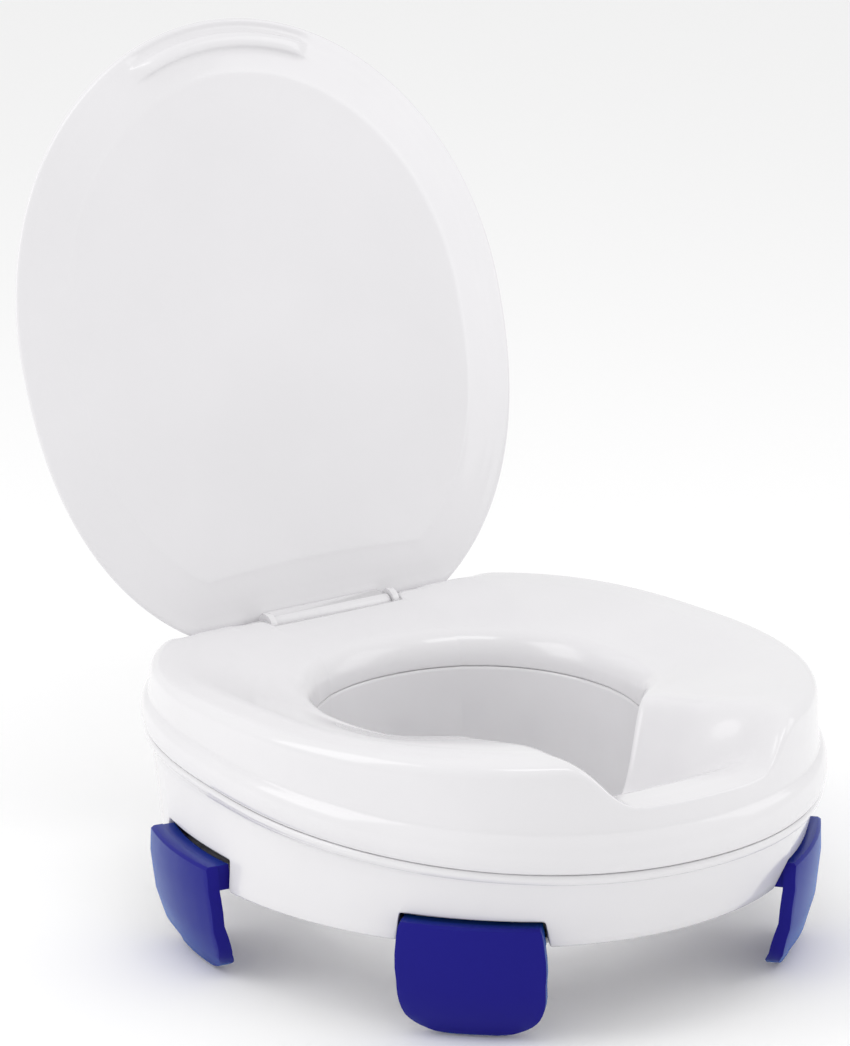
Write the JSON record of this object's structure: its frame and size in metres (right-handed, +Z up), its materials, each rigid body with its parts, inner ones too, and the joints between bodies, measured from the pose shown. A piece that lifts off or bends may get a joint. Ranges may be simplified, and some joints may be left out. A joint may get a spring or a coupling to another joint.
{
  "type": "raised toilet seat",
  "caption": "Moulded raised toilet seat with a hole and rolled lip, a front recess, a hinged dished lid and swinging clips that grip the toilet bowl's rim.",
  "frame": {"origin": "centre of the bottom of the bounding box with the lid open at its rest angle and the clips at rest, so the clips' tips are at z = 0", "axes": "+Z up, -Y towards the front recess, +Y towards the hinge and lid, +X to the right seen from the front"},
  "size_m": [0.3848, 0.5221, 0.4898],
  "materials": {
    "white_plastic": "glossy white moulded plastic",
    "blue_plastic": "glossy deep blue moulded plastic",
    "steel": "plain stainless steel",
    "rubber": "matt grey rubber",
    "bush_plastic": "matt grey plastic"
  },
  "bodies": {
    "base": {"seat_shell": "white_plastic", "base_skirt": "white_plastic", "bottom_plate": "white_plastic", "splash_sleeve": "white_plastic", "shell_bosses": "white_plastic", "hinge_cradle": "white_plastic", "hinge_pin_left": "steel", "hinge_pin_right": "steel", "clip_rod_front_left": "steel", "clip_rod_front_right": "steel", "clip_rod_rear_left": "steel", "clip_rod_rear_right": "steel", "pad_front_left": "rubber", "pad_front_right": "rubber", "pad_rear_left": "rubber", "pad_rear_right": "rubber", "plate_screws": "steel", "cradle_screws": "steel"},
    "lid": {"lid": "white_plastic", "lid_knuckle": "white_plastic", "hinge_bush_left": "bush_plastic", "hinge_bush_right": "bush_plastic", "strap_screws": "steel"},
    "clip_front_left": {"clip_front_left": "blue_plastic"},
    "clip_front_right": {"clip_front_right": "blue_plastic"},
    "clip_rear_left": {"clip_rear_left": "blue_plastic"},
    "clip_rear_right": {"clip_rear_right": "blue_plastic"}
  },
  "joints": [
    {"name": "lid_hinge", "type": "hinge", "parent": "base", "child": "lid", "pos_m": [0, 0.13407, 0.1411], "axis": [1, 0, 0], "range_deg": [0, 105]},
    {"name": "clip_front_left_swing", "type": "hinge", "parent": "base", "child": "clip_front_left", "pos_m": [-0.10998, -0.18676, 0.0585], "axis": [-0.7385, 0.6743, 0], "range_deg": [0, 10], "stiffness_Nm_per_rad": 0.6, "springref_deg": -2.86},
    {"name": "clip_front_right_swing", "type": "hinge", "parent": "base", "child": "clip_front_right", "pos_m": [0.10998, -0.18676, 0.0585], "axis": [-0.7385, -0.6743, 0], "range_deg": [0, 10], "stiffness_Nm_per_rad": 0.6, "springref_deg": -2.86},
    {"name": "clip_rear_left_swing", "type": "hinge", "parent": "base", "child": "clip_rear_left", "pos_m": [-0.17552, 0.00269, 0.0585], "axis": [0.1219, 0.9925, 0], "range_deg": [0, 10], "stiffness_Nm_per_rad": 0.6, "springref_deg": -2.86},
    {"name": "clip_rear_right_swing", "type": "hinge", "parent": "base", "child": "clip_rear_right", "pos_m": [0.17552, 0.00269, 0.0585], "axis": [0.1219, -0.9925, 0], "range_deg": [0, 10], "stiffness_Nm_per_rad": 0.6, "springref_deg": -2.86}
  ]
}
